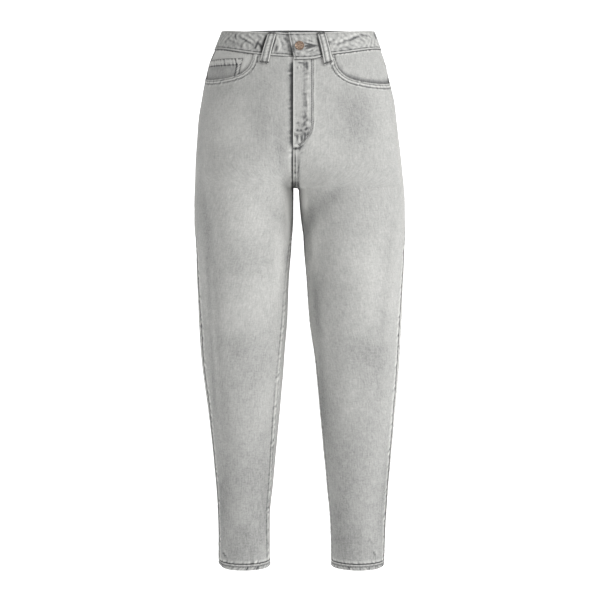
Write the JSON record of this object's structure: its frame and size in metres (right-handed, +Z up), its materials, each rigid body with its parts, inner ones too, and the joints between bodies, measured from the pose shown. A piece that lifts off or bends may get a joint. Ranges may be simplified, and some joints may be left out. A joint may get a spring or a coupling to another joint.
{
  "type": "jeans",
  "caption": "High-waisted tapered jeans with scooped front pockets and patch back pockets in pale washed denim, hollow and filled out as if worn, open at the waist and both hems.",
  "frame": {"origin": "middle of the waist opening, halfway up the waistband at the side seams", "axes": "+Z up, out of the waist opening; -Y the way the wearer faces; the wearer's right leg at -X"},
  "size_m": [0.3908, 0.2454, 1.0031],
  "materials": {
    "washed_denim": "washed pale grey cotton twill",
    "pocket_denim": "less faded grey cotton twill",
    "copper_button": "antique copper, satin"
  },
  "bodies": {
    "root": {"front_right": "washed_denim", "front_left": "washed_denim", "back_right": "washed_denim", "back_left": "washed_denim", "yoke_right": "washed_denim", "yoke_left": "washed_denim", "waistband": "washed_denim", "fly_placket": "washed_denim", "back_pocket_right": "washed_denim", "back_pocket_left": "washed_denim", "hem_right": "washed_denim", "hem_left": "washed_denim", "belt_loop_front_right": "washed_denim", "belt_loop_front_left": "washed_denim", "belt_loop_back_right": "washed_denim", "belt_loop_back_left": "washed_denim", "belt_loop_back": "washed_denim", "pocket_facing_right": "pocket_denim", "pocket_facing_left": "pocket_denim", "coin_pocket": "pocket_denim", "waist_button": "copper_button"}
  },
  "joints": []
}
